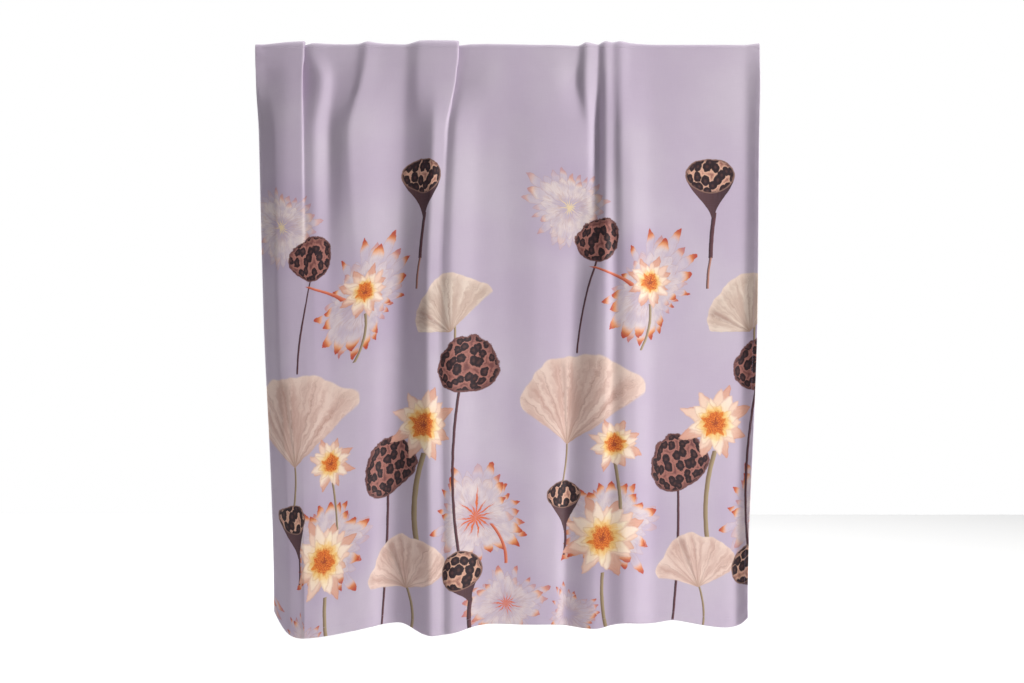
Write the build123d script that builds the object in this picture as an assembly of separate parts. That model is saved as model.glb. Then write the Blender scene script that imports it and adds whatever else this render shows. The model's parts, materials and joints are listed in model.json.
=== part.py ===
from build123d import *

import os
from math import pi

# Shower curtain, millimetres. The cloth hangs over a rail: the front panel hangs down before it,
# the header is turned over the top and hangs behind it, with its row of eyelets.
# Origin on the rail's axis at mid-width, +X along the rail, -Y is the printed front, +Z up.

# ---- driving dimensions ----
FLAT_WIDTH = 1800.0
FLAT_LENGTH = 2000.0
HUNG_WIDTH_TOP = 1656.0
HUNG_WIDTH_BOTTOM = 1556.0
CLOTH = 0.6
RAIL_R = 12.5

HEADER_LENGTH = 70.0  # cloth behind the rail, from the rail's axis to the header's free edge
HEADER_LEAN = 25.0  # less cloth is turned over at the left end
LEAN_END = -0.4  # where the lean runs out, as a share of the half width
TAPE_WIDTH = 30.0
TAPE_THICK = 0.5
TAPE_INSET = 3.0

SIDE_HEM = 15.0
SIDE_HEM_LAYERS = 2
SIDE_HEM_TOP = -16.0
BOTTOM_HEM = 30.0
WEIGHT_TAPE_WIDTH = 13.0
WEIGHT_TAPE_THICK = 1.15
WEIGHT_TAPE_UP = 3.5
THREAD = 0.5
SEAM_INSET = 2.0

EYELET_COUNT = 12
EYELET_FROM_SIDE = 30.0
EYELET_FROM_EDGE = 20.0
EYELET_R = 6.0
BARREL_WALL = 0.7
BARREL_GAP = 0.1  # between the barrel and the punched cloth
FLANGE_R = 11.5
FLANGE_THICK = 0.8
WASHER_R = 11.0
WASHER_THICK = 0.8
LIP_R = 8.2
LIP_THICK = 0.6

LABEL_WIDTH = 26.0
LABEL_LENGTH = 55.0
LABEL_THICK = 0.4
LABEL_TOP = -1620.0
LABEL_OVERLAP = 8.0  # how far the label lies over the hem
BARTACK = (9.0, 0.5, 1.6)

# ---- worked out from them ----
HALF_TOP = HUNG_WIDTH_TOP / 2
HALF_BOTTOM = HUNG_WIDTH_BOTTOM / 2
OVER_RAIL = pi * (RAIL_R + CLOTH / 2)
FRONT_DROP = FLAT_LENGTH - HEADER_LENGTH - OVER_RAIL
FRONT_Y = -RAIL_R - CLOTH  # printed face of the panel where it hangs straight
BACK_Y = RAIL_R + CLOTH  # printed face of the header, which looks backwards
FLAT_BAND = 60.0  # the panel is flat against the rail down to here

# Fold lines of the front panel from left to right: place as a share of the half width, how far
# the line stands forward high up and low down, and how much lower the hem hangs there.
FOLD_LINES = [
    (-0.86, 30, 38, 26),
    (-0.80, 22, 26, 24),
    (-0.75, 32, 22, 20),
    (-0.68, -18, 6, 14),
    (-0.56, 35, 12, 4),
    (-0.38, -20, -36, 0),
    (-0.31, 35, 45, 16),
    (-0.23, 12, 18, 18),
    (-0.17, 28, 32, 8),
    (-0.03, 5, 2, 0),
    (0.13, 14, 12, 0),
    (0.26, 2, 8, 2),
    (0.33, -25, -30, 2),
    (0.40, 28, 35, 0),
    (0.45, 2, 8, -2),
    (0.50, 26, 38, -4),
    (0.57, 8, 6, -4),
    (0.68, 16, 20, 0),
    (0.78, 8, 4, 4),
    (0.91, 12, 20, 5),
]
LEFT_EDGE = (-40, -44, 22)
RIGHT_EDGE = (-20, -26, 0)

# Heights of the folds' corners: how far down the front, and how fully the folds have opened
# there, high-up shape and low-down shape.
FOLD_LEVELS = [
    (0.0, 0.0, 0.0),
    (FLAT_BAND, 0.0, 0.0),
    (180.0, 0.6, 0.0),
    (420.0, 1.0, 0.0),
    (1000.0, 0.5, 0.5),
    (1500.0, 0.0, 0.9),
    (FRONT_DROP - BOTTOM_HEM, 0.0, 1.0),
    (FRONT_DROP, 0.0, 1.0),
]


def half_width(down):
    """Half the hung width at a distance down the front."""
    share = min(max((down - FLAT_BAND) / (FRONT_DROP - BOTTOM_HEM - FLAT_BAND), 0), 1)
    return HALF_TOP + (HALF_BOTTOM - HALF_TOP) * share


def column(place, high, low, longer, shift=0.0):
    """The points of one fold line on the printed face, from the rail down to the hem."""
    points = []
    for down, high_share, low_share in FOLD_LEVELS:
        x = place * half_width(down) + shift
        y = FRONT_Y - high * high_share - low * low_share
        hang = longer * min(down / (FRONT_DROP - BOTTOM_HEM), 1)
        points.append(Vector(x, y, -down - hang))
    return points


def cloth_columns():
    """All the fold lines of the panel, with two lines at each side for the flat side hems."""
    left = [column(-1, *LEFT_EDGE, shift=s) for s in (0, SIDE_HEM)]
    right = [column(1, *RIGHT_EDGE, shift=-s) for s in (SIDE_HEM, 0)]
    return left + [column(*line) for line in FOLD_LINES] + right


def patch(points):
    """A flat face through points given in order."""
    return Face(Wire.make_polygon(points, close=True))


def closed_solid(faces):
    """A solid from the faces that close it."""
    solid = Solid(Shell(faces))
    return solid if solid.volume > 0 else Solid(Shell([-face for face in faces]))


def sheet(columns, near, far):
    """Cloth between two copies of a net of points, moved back by near and by far."""
    a, b = Vector(0, near, 0), Vector(0, far, 0)
    faces = []
    for left, right in zip(columns, columns[1:]):
        for row in range(len(left) - 1):
            corners = left[row], right[row], right[row + 1], left[row + 1]
            for move in (a, b):
                p, q, r, s = (corner + move for corner in corners)
                faces += [patch([p, q, r]), patch([p, r, s])]
    rim = [c[0] for c in columns] + columns[-1][1:]
    rim += [c[-1] for c in reversed(columns[:-1])] + columns[0][-2:0:-1]
    for p, q in zip(rim, rim[1:] + rim[:1]):
        faces.append(patch([p + a, q + a, q + b, p + b]))
    return closed_solid(faces)


def strip(path, section):
    """A bar whose corners are the section's points carried along a path without turning."""
    rings = [[point + corner for corner in section] for point in path]
    faces = [patch(rings[0]), patch(rings[-1])]
    for ring, after in zip(rings, rings[1:]):
        for k in range(len(section)):
            n = (k + 1) % len(section)
            faces.append(patch([ring[k], ring[n], after[n], after[k]]))
    return closed_solid(faces)


def header_edge(x):
    """Height of the header's free edge behind the rail."""
    share = (LEAN_END - x / HALF_TOP) / (LEAN_END + 1)
    return HEADER_LEAN * min(max(share, 0), 1) - HEADER_LENGTH


def header_band(low, high, y_from, y_to):
    """A flat layer behind the rail. low and high are heights above the header's free edge,
    and a high of None reaches up to the rail's axis."""
    xs = [-HALF_TOP, LEAN_END * HALF_TOP, HALF_TOP]
    bottom = [Vector(x, y_from, header_edge(x) + low) for x in xs]
    top = [Vector(x, y_from, 0 if high is None else header_edge(x) + high) for x in xs]
    outline = patch(bottom + top[::-1])
    layer = Solid.extrude(outline, Vector(0, y_to - y_from, 0))
    for x, z in eyelet_places():
        hole_r = EYELET_R + BARREL_WALL + BARREL_GAP
        hole = Cylinder(hole_r, 4 * (y_to - y_from), rotation=(90, 0, 0))
        layer -= Pos(x, (y_from + y_to) / 2, z) * hole
    return layer


def eyelet_places():
    """Centres of the eyelets, from left to right, as (x, z)."""
    first = EYELET_FROM_SIDE - HALF_TOP
    pitch = -2 * first / (EYELET_COUNT - 1)
    xs = [first + i * pitch for i in range(EYELET_COUNT)]
    return [(x, header_edge(x) + EYELET_FROM_EDGE) for x in xs]


# Layers of the header, counted inwards from its printed face.
TAPE_Y = RAIL_R - TAPE_THICK
HEADER_HEM_Y = TAPE_Y - CLOTH
WASHER_Y = HEADER_HEM_Y - WASHER_THICK
LIP_Y = WASHER_Y - LIP_THICK


def front_panel():
    """The printed cloth before the rail, in its folds."""
    return sheet(cloth_columns(), 0, CLOTH)


def header_fold():
    """The half-round stretch of the cloth that rests on the rail."""
    half = Plane.YZ * (Circle(RAIL_R + CLOTH) - Circle(RAIL_R))
    upper = Plane.YZ * Pos(0, RAIL_R) * Rectangle(4 * RAIL_R, 2 * RAIL_R)
    section = half & upper
    return extrude(section, HALF_TOP, both=True)


def header_flap():
    """The printed cloth behind the rail, punched for the eyelets."""
    return header_band(0, None, RAIL_R, BACK_Y)


def header_tape():
    """The stiff woven tape inside the header, which the eyelets are set in."""
    return header_band(TAPE_INSET, TAPE_INSET + TAPE_WIDTH, TAPE_Y, RAIL_R)


def header_hem():
    """The cloth turned down over the tape, on the rail's side."""
    return header_band(0, TAPE_WIDTH + 2 * TAPE_INSET, HEADER_HEM_Y, TAPE_Y)


def header_seam():
    """The row of stitching that holds the header's hem."""
    xs = [-HALF_TOP + 1, LEAN_END * HALF_TOP, HALF_TOP - 1]
    up = TAPE_WIDTH + 2 * TAPE_INSET - SEAM_INSET
    path = [Vector(x, BACK_Y, header_edge(x) + up) for x in xs]
    return strip(path, [Vector(0, y, z) for y, z in square(THREAD)])


def square(side):
    """Corners of a square that stands on the first axis, centred on the second."""
    return [(0, -side / 2), (side, -side / 2), (side, side / 2), (0, side / 2)]


def side_lines(edge):
    """The two fold lines of a flat side hem, from below the rail to the bottom hem."""
    columns = cloth_columns()
    pair = columns[:2] if edge == "left" else columns[-2:]
    trimmed = []
    for line in pair:
        start = Vector(line[0].X, line[0].Y, SIDE_HEM_TOP)
        trimmed.append([start] + line[1:-1])
    return trimmed


def side_hem(edge):
    """The turned layers behind one side edge."""
    return sheet(side_lines(edge), CLOTH, CLOTH * (1 + SIDE_HEM_LAYERS))


def side_seam(edge):
    """The stitching on the printed face along a side hem's inner edge."""
    inner = side_lines(edge)[1 if edge == "left" else 0]
    inwards = -1 if edge == "left" else 1
    path = [point + Vector(inwards * SEAM_INSET, 0, 0) for point in inner]
    return strip(path, [Vector(x, -y, 0) for y, x in square(THREAD)])


def hem_path(up, back=0.0):
    """Points along the bottom hem at a height above its lower edge."""
    return [column_points[-1] + Vector(0, back, up) for column_points in cloth_columns()]


def bottom_hem():
    """The hem along the bottom, turned up behind the panel round the weight tape."""
    pocket_low = WEIGHT_TAPE_UP - CLOTH
    pocket_high = WEIGHT_TAPE_UP + WEIGHT_TAPE_WIDTH + CLOTH
    inner = WEIGHT_TAPE_THICK + 0.05
    section = [
        (0, 0),
        (inner + CLOTH, 0),
        (inner + CLOTH, BOTTOM_HEM),
        (0, BOTTOM_HEM),
        (0, pocket_high),
        (inner, pocket_high),
        (inner, pocket_low),
        (0, pocket_low),
    ]
    return strip(hem_path(0, CLOTH), [Vector(0, y, z) for y, z in section])


def weight_tape():
    """The weighted tape that lies loose in the bottom hem's pocket."""
    low, high = WEIGHT_TAPE_UP, WEIGHT_TAPE_UP + WEIGHT_TAPE_WIDTH
    section = [(0, low), (WEIGHT_TAPE_THICK, low), (WEIGHT_TAPE_THICK, high), (0, high)]
    return strip(hem_path(0, CLOTH), [Vector(0, y, z) for y, z in section])


def bottom_seam():
    """The stitching on the printed face along the bottom hem's upper edge."""
    path = hem_path(BOTTOM_HEM - SEAM_INSET)
    return strip(path, [Vector(0, -y, z) for y, z in square(THREAD)])


def on_line(line, z):
    """The point of a fold line at a height."""
    above = max(i for i, point in enumerate(line[:-1]) if point.Z >= z)
    p, q = line[above], line[above + 1]
    return p + (q - p) * ((p.Z - z) / (p.Z - q.Z))


def back_of_hem(edge, z):
    """The point on the back of a side hem at a height, at the hem's inner edge."""
    inner = side_lines(edge)[1 if edge == "left" else 0]
    return on_line(inner, z) + Vector(0, CLOTH * (1 + SIDE_HEM_LAYERS), 0)


def plate(edge, top, height, from_edge, width, near, thick):
    """A thin plate on the back of a side hem. from_edge is measured outwards from the
    hem's inner edge to the plate's outer side, and near is the gap below the plate."""
    outwards = -1 if edge == "left" else 1
    ends = sorted([outwards * from_edge, outwards * (from_edge - width)])
    section = [(ends[0], near), (ends[1], near), (ends[1], near + thick), (ends[0], near + thick)]
    path = [back_of_hem(edge, z) for z in (top, top - height)]
    return strip(path, [Vector(x, y, 0) for x, y in section])


def bartack(edge, level):
    """A short bar of close stitches on the back of a side hem, at its top or bottom end."""
    line = side_lines(edge)[0]
    width, thick, height = BARTACK
    top = line[0].Z - height if level == "top" else line[-1].Z + 2 * height
    middle = (SIDE_HEM + width) / 2
    return plate(edge, top, height, middle, width, 0, thick)


def care_label():
    """A blank woven label sewn to the back of the right side hem."""
    return plate("right", LABEL_TOP, LABEL_LENGTH, LABEL_OVERLAP, LABEL_WIDTH, 0, LABEL_THICK)


def label_seam():
    """The stitching that holds the care label along its outer side."""
    height = LABEL_LENGTH - 2 * SEAM_INSET
    outer = LABEL_OVERLAP - SEAM_INSET
    return plate("right", LABEL_TOP - SEAM_INSET, height, outer, THREAD, LABEL_THICK, THREAD)


def grommet():
    """An eyelet's barrel with its flange and the lip rolled over the washer, about +Y."""
    barrel_r = EYELET_R + BARREL_WALL
    flange_y = BACK_Y + FLANGE_THICK
    soft = FLANGE_THICK / 2
    with BuildSketch(Plane.XY) as profile:
        with BuildLine():
            Polyline((EYELET_R, flange_y - soft), (EYELET_R, LIP_Y), (LIP_R, LIP_Y))
            Line((LIP_R, LIP_Y), (LIP_R, WASHER_Y))
            Polyline((LIP_R, WASHER_Y), (barrel_r, WASHER_Y), (barrel_r, BACK_Y))
            Line((barrel_r, BACK_Y), (FLANGE_R, BACK_Y))
            RadiusArc((FLANGE_R, BACK_Y), (FLANGE_R - FLANGE_THICK, flange_y), -FLANGE_THICK)
            Line((FLANGE_R - FLANGE_THICK, flange_y), (EYELET_R + soft, flange_y))
            RadiusArc((EYELET_R + soft, flange_y), (EYELET_R, flange_y - soft), -soft)
        make_face()
    return revolve(profile.sketch, Axis.Y)


def washer():
    """An eyelet's washer, held between the header's hem and the rolled lip, about +Y."""
    ring = Cylinder(WASHER_R, WASHER_THICK) - Cylinder(EYELET_R + BARREL_WALL + 0.05, 2)
    ring = fillet(ring.edges().filter_by(GeomType.CIRCLE).group_by(Axis.Z)[0][-1:], 0.3)
    return Pos(0, WASHER_Y + WASHER_THICK / 2, 0) * Rot(-90, 0, 0) * ring


def eyelet_nodes():
    """A grommet and a washer for each eyelet."""
    nodes = {}
    for number, (x, z) in enumerate(eyelet_places(), 1):
        nodes[f"eyelet_{number:02d}_grommet"] = Pos(x, 0, z) * grommet()
        nodes[f"eyelet_{number:02d}_washer"] = Pos(x, 0, z) * washer()
    return nodes


def curtain():
    """Every piece of the curtain, by name."""
    nodes = {
        "front_panel": front_panel(),
        "header_fold": header_fold(),
        "header_flap": header_flap(),
        "header_tape": header_tape(),
        "header_hem": header_hem(),
        "header_seam": header_seam(),
        "bottom_hem": bottom_hem(),
        "weight_tape": weight_tape(),
        "bottom_seam": bottom_seam(),
        "care_label": care_label(),
        "label_seam": label_seam(),
    }
    for edge in ("left", "right"):
        nodes[f"{edge}_side_hem"] = side_hem(edge)
        nodes[f"{edge}_side_seam"] = side_seam(edge)
        for level in ("top", "bottom"):
            nodes[f"{edge}_{level}_bartack"] = bartack(edge, level)
    return nodes | eyelet_nodes()


os.makedirs("parts", exist_ok=True)
for name, shape in curtain().items():
    export_step(shape, f"parts/{name}.step")
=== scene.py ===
"""Shower curtain: printed cloth in folds, a header over the rail, hems, stitching and eyelets."""

import functools
import json
import math
from types import SimpleNamespace

import bpy
import numpy as np
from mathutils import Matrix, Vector


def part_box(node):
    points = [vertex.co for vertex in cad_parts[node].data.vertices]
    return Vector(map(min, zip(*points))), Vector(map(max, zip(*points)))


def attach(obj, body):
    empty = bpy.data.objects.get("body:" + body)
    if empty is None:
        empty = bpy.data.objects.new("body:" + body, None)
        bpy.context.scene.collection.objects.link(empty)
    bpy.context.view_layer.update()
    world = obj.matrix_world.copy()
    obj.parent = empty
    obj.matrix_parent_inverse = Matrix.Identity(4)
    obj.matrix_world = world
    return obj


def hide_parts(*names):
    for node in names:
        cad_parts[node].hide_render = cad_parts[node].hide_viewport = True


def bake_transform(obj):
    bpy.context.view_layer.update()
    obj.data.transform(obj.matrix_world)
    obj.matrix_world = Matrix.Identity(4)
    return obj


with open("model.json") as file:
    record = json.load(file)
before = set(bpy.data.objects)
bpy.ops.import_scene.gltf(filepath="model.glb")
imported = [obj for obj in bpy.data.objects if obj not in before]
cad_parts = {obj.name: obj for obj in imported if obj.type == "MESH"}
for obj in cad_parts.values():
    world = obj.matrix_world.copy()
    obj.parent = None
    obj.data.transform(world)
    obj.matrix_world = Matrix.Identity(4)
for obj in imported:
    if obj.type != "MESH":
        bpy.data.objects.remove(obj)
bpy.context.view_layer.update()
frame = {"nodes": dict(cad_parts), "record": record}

MM, TAU = 0.001, 2 * math.pi

# ---- places from the frame ----
MOUNTS = {m["name"]: m for m in frame["record"]["mounts"]}
RAIL_R = MOUNTS["rail_saddle"]["dims"]["r_mm"] * MM
EYELETS = [m for name, m in sorted(MOUNTS.items()) if name.startswith("eyelet_")]
EYELET_HOLE_R = 7.6 * MM
FLAP_LOW, FLAP_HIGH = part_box("header_flap")

# ---- the cloth ----
FLAT = (1.8, 2.0)
THICK = 0.35 * MM
HEADER_LENGTH = -FLAP_LOW[2]
FRONT_DROP = FLAT[1] - HEADER_LENGTH - math.pi * (RAIL_R + 0.3 * MM)
HALF_TOP = FLAP_HIGH[0]
SIDE_HEM = 15 * MM
BOTTOM_HEM = 30 * MM
HEM_TOP = FRONT_DROP - BOTTOM_HEM
HEADER_HEM = 36 * MM
HEADER_FACE_Y = FLAP_HIGH[1]
HEADER_LEAN, LEAN_END = 25 * MM, -0.4
EYELET_UP = 20.0
SIDE_HEM_START = -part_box("right_side_hem")[1][2]
SEAM_INSET = 2 * MM

# Heights of the five profiles that the folds pass through, measured down from the rail's axis.
LEVELS = np.array([0, 100, 280, 850, 1850]) * MM

# Fold lines from left to right. For each: where it is on the five levels, how far forward it
# stands on them, and how soft its bend is, from 0 for a crease to 1 for a broad curve. All in mm.
FOLDS = [
    ((-828, -828, -823, -810, -774), (0, -10, -38, -46, -46), 0.1),
    ((-800, -790, -764, -754, -716), (1, -4, 7, 6, 4), 0.3),
    ((-728, -726, -728, -720, -676), (9, 15, 16, 13, 16), 0.7),
    ((-664, -668, -671, -672, -664), (13, 18, 17, 15, 22), 0.0),
    ((-682, -680, -669, -658, -646), (-8, -14, 8, 15, 22), 0.0),
    ((-642, -608, -630, -630, -610), (7, 17, 18, 16, 22), 0.4),
    ((-580, -572, -588, -585, -566), (2, -6, -6, 9, 14), 0.5),
    ((-492, -500, -544, -540, -530), (0, 3, 19, 10, 10), 0.4),
    ((-462, -478, -518, -490, -490), (13, 17, 30, 10, 6), 0.3),
    ((-420, -430, -456, -440, -450), (4, 6, 15, 3, -2), 0.8),
    ((-358, -364, -384, -390, -412), (2, -1, -8, -13, -22), 1.0),
    ((-330, -334, -342, -348, -372), (0, -4, -18, -18, -24), 0.7),
    ((-290, -296, -290, -322, -338), (15, 14, 4, -6, -8), 0.5),
    ((-228, -236, -242, -261, -251), (15, 15, 30, 42, 45), 0.25),
    ((-156, -164, -204, -224, -216), (14, 11, 20, 31, 33), 0.1),
    ((-174, -178, -196, -214, -206), (-5, -9, 14, 31, 32), 0.1),
    ((-124, -140, -169, -186, -182), (2, 0, 27, 40, 42), 0.3),
    ((-64, -67, -90, -100, -90), (3, 7, 8, 14, 16), 1.0),
    ((2, 2, 2, 2, 2), (2, 5, 5, 6, 8), 1.0),
    ((94, 94, 94, 94, 94), (0, 4, 10, 12, 12), 1.0),
    ((172, 172, 179, 172, 160), (0, 3, 8, 5, 7), 1.0),
    ((238, 232, 244, 218, 188), (-5, -13, 4, -7, -8), 0.4),
    ((258, 253, 268, 240, 214), (11, 13, 2, 0, 1), 0.3),
    ((282, 281, 284, 264, 250), (4, 2, -9, 14, 18), 0.4),
    ((301, 301, 301, 292, 280), (-1, -5, -21, 29, 26), 0.2),
    ((320, 321, 317, 320, 306), (14, 15, 17, 37, 24), 0.3),
    ((346, 346, 350, 348, 332), (7, 8, 10, 21, 25), 0.2),
    ((372, 372, 372, 380, 378), (13, 15, 25, 34, 43), 0.2),
    ((403, 403, 406, 414, 420), (5, 8, 20, 36, 38), 0.5),
    ((468, 468, 468, 472, 476), (0, 1, 8, 18, 16), 1.0),
    ((540, 540, 540, 540, 540), (0, 1, 7, 12, 14), 1.0),
    ((640, 640, 640, 638, 632), (0, 1, 3, 8, 10), 1.0),
    ((742, 742, 742, 738, 718), (0, 0, 1, 3, 6), 0.8),
    ((784, 784, 784, 778, 752), (-1, -3, -2, -1, -1), 0.4),
    ((828, 828, 824, 818, 786), (5, 13, 18, 22, 20), 0.2),
]

# How much lower than its straight length the bottom edge hangs, against place, both in mm.
HANG = [
    (-774, -34), (-755, 0), (-728, 34), (-690, 46), (-640, 42), (-590, 36), (-527, 26),
    (-470, 14), (-410, 4), (-350, -4), (-325, 0), (-295, 24), (-262, 33), (-215, 30),
    (-160, 20), (-115, 3), (-60, -5), (40, 0), (150, 0), (238, 10), (300, 12), (340, -2),
    (372, -14), (420, -8), (480, -6), (540, -18), (580, -10), (640, 2), (700, 11),
    (745, 10), (770, 0), (786, -24),
]

# The cloth's left part hangs lower than the rest, and its print with it.
PRINT_SAG = 66 * MM
SAG_FULL, SAG_NONE = -670 * MM, -290 * MM


def smooth(x, low=0.0, high=1.0):
    """0 below low, 1 above high, and a smooth step between them."""
    share = np.clip((x - low) / (high - low), 0, 1)
    return share * share * (3 - 2 * share)


def through_levels(values, down):
    """Values on the five levels, carried smoothly to the heights in down."""
    values, steps = np.array(values, float), np.diff(LEVELS)
    slopes = np.diff(values) / steps
    tangents = np.zeros(len(values))
    rising = slopes[:-1] * slopes[1:] > 0
    mean = 2 * slopes[:-1] * slopes[1:] / np.where(rising, slopes[:-1] + slopes[1:], 1)
    tangents[1:-1] = np.where(rising, mean, 0)
    down = np.clip(down, LEVELS[0], LEVELS[-1])
    k = np.clip(np.searchsorted(LEVELS, down, side="right") - 1, 0, len(steps) - 1)
    s = (down - LEVELS[k]) / steps[k]
    return (
        values[k] * (1 + 2 * s) * (1 - s) ** 2
        + tangents[k] * steps[k] * s * (1 - s) ** 2
        + values[k + 1] * s * s * (3 - 2 * s)
        + tangents[k + 1] * steps[k] * s * s * (s - 1)
    )


def flat_places():
    """How far across the flat cloth each fold line is."""
    xs = np.array([f[0] for f in FOLDS]) * MM
    ys = np.array([f[1] for f in FOLDS]) * MM
    lengths = np.hypot(np.diff(xs, axis=0), np.diff(ys, axis=0))
    share = lengths @ np.array([0.15, 0.15, 0.25, 0.25, 0.2])
    return np.concatenate([[0], np.cumsum(share)]) / share.sum() * FLAT[0]


FINE_U = np.linspace(0, FLAT[0], 1201)
FINE_STEP = FINE_U[1] - FINE_U[0]
PLACES = flat_places()
CREASE_SPREAD, CURVE_SPREAD = 3.8 * MM, 18 * MM


def spreader(spread):
    """A function that rounds a profile off, and keeps its ends."""
    reach = int(4 * spread / FINE_STEP)
    steps = np.arange(-reach, reach + 1) * FINE_STEP
    kernel = np.exp(-0.5 * (steps / spread) ** 2)
    kernel /= kernel.sum()

    def rounded(line):
        before, after = 2 * line[0] - line[reach:0:-1], 2 * line[-1] - line[-2:-reach - 2:-1]
        return np.convolve(np.concatenate([before, line, after]), kernel, "valid")

    return rounded


SHARP, SOFT = spreader(CREASE_SPREAD), spreader(CURVE_SPREAD)
SOFTNESS = np.interp(FINE_U, PLACES, [f[2] for f in FOLDS])


def profiles(downs):
    """x and forward distance across the fine grid, at each height."""
    out = []
    for kind in (0, 1):
        lines = np.array([through_levels(f[kind], downs) for f in FOLDS]).T * MM
        raws = [np.interp(FINE_U, PLACES, line) for line in lines]
        out.append(np.array([SHARP(r) * (1 - SOFTNESS) + SOFT(r) * SOFTNESS for r in raws]))
    return out


def sag(x):
    """How much lower the print hangs at a place across."""
    return PRINT_SAG * (1 - smooth(x, SAG_FULL, SAG_NONE))


def distance_to(x, down, points):
    """The distance to a line through points (x, down) in mm."""
    best = np.full(x.shape, 1e9)
    for (ax, ad), (bx, bd) in zip(points, points[1:]):
        a, b = np.array([ax, ad]) * MM, np.array([bx, bd]) * MM
        d = b - a
        s = np.clip(((x - a[0]) * d[0] + (down - a[1]) * d[1]) / (d @ d), 0, 1)
        best = np.minimum(best, np.hypot(x - a[0] - s * d[0], down - a[1] - s * d[1]))
    return best


HEADER_CREASE = [(-826, 49), (-731, 43), (-690, 28), (-655, 33), (-590, 20), (-500, 2)]
CORNER_CREASE = [(-824, 0), (-800, 34), (-780, 46)]
CREASE_HIGH, CREASE_WIDE = 1.1 * MM, 13 * MM
BATTEN_EDGE = 52 * MM
PUCKER_LONG = 52 * MM


def bump(distance, width):
    """1 where a distance is 0, falling to 0 over a width."""
    return np.exp(-((distance / width) ** 2))


def pucker(place, stray, waves):
    """Waves from 0 to 1 along a seam, of uneven length."""
    return np.sin(place / PUCKER_LONG * TAU + stray * np.sin(place * waves)) * 0.5 + 0.5


def wrinkles(u, down, x):
    """Small relief on the broad folds, along the cloth's normal."""
    side = np.minimum(u, FLAT[0] - u) - SIDE_HEM
    above_hem = down - HEM_TOP - SEAM_INSET
    relief = 1.5 * MM * pucker(down, 2.2, 9) * bump(side, 10 * MM) * smooth(down, 0.08, 0.2)
    relief += 0.7 * MM * pucker(u, 2.5, 11) * bump(above_hem, 16 * MM)
    relief += 2.2 * MM * (1 - smooth(down, BATTEN_EDGE - 12 * MM, BATTEN_EDGE + 14 * MM))
    for line in (HEADER_CREASE, CORNER_CREASE):
        relief += CREASE_HIGH * bump(distance_to(x, down, line), CREASE_WIDE)
    broad = np.sin(u * 7.1 + 2.3 * np.sin(down * 2.1)) * np.sin(down * 3.3 + 1.7 * np.sin(u * 5.3))
    return relief + 1.5 * MM * broad * smooth(down, 0.1, 0.5)


LOW_X = profiles(np.array([FRONT_DROP]))[0][0]
HANG_LINE = SOFT(np.interp(LOW_X, [h[0] * MM for h in HANG], [h[1] * MM for h in HANG]))


def cloth_net(us, downs):
    """The panel's printed face: points and normals over flat places and heights."""
    across, forward = profiles(downs)
    x = np.array([np.interp(us, FINE_U, row) for row in across])
    y = -RAIL_R - np.array([np.interp(us, FINE_U, row) for row in forward])
    share = (downs / FRONT_DROP)[:, None] ** 4
    z = -downs[:, None] - np.interp(us, FINE_U, HANG_LINE)[None, :] * share
    points = np.stack([x, y, z], axis=-1)
    normals = face_normals(points)
    relief = wrinkles(us[None, :], np.broadcast_to(downs[:, None], x.shape), x)
    points = points + normals * relief[..., None]
    return points, face_normals(points)


def face_normals(points):
    """Unit normals of a net, towards the front."""
    across = np.gradient(points, axis=1)
    along = np.gradient(points, axis=0)
    normals = np.cross(along, across)
    return normals / np.linalg.norm(normals, axis=-1, keepdims=True)


# ---- shader arithmetic ----
def paint(colour):
    """A 0 to 255 colour as the linear colour that a socket takes."""
    parts = [c / 255 for c in colour]
    return [p / 12.92 if p < 0.04045 else ((p + 0.055) / 1.055) ** 2.4 for p in parts] + [1]


class Value:
    """A number or colour worked out by nodes, written with the usual signs."""

    def __init__(self, tree, socket):
        self.tree, self.socket = tree, socket

    def __rsub__(self, other):
        return self.tree.math("SUBTRACT", other, self)

    def __abs__(self):
        return self.tree.math("ABSOLUTE", self)


def sign(operation):
    """What a sign between a value and another does."""
    return lambda first, second: first.tree.math(operation, first, second)


Value.__add__ = Value.__radd__ = sign("ADD")
Value.__mul__ = Value.__rmul__ = sign("MULTIPLY")
Value.__sub__, Value.__truediv__, Value.__pow__ = sign("SUBTRACT"), sign("DIVIDE"), sign("POWER")


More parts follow.
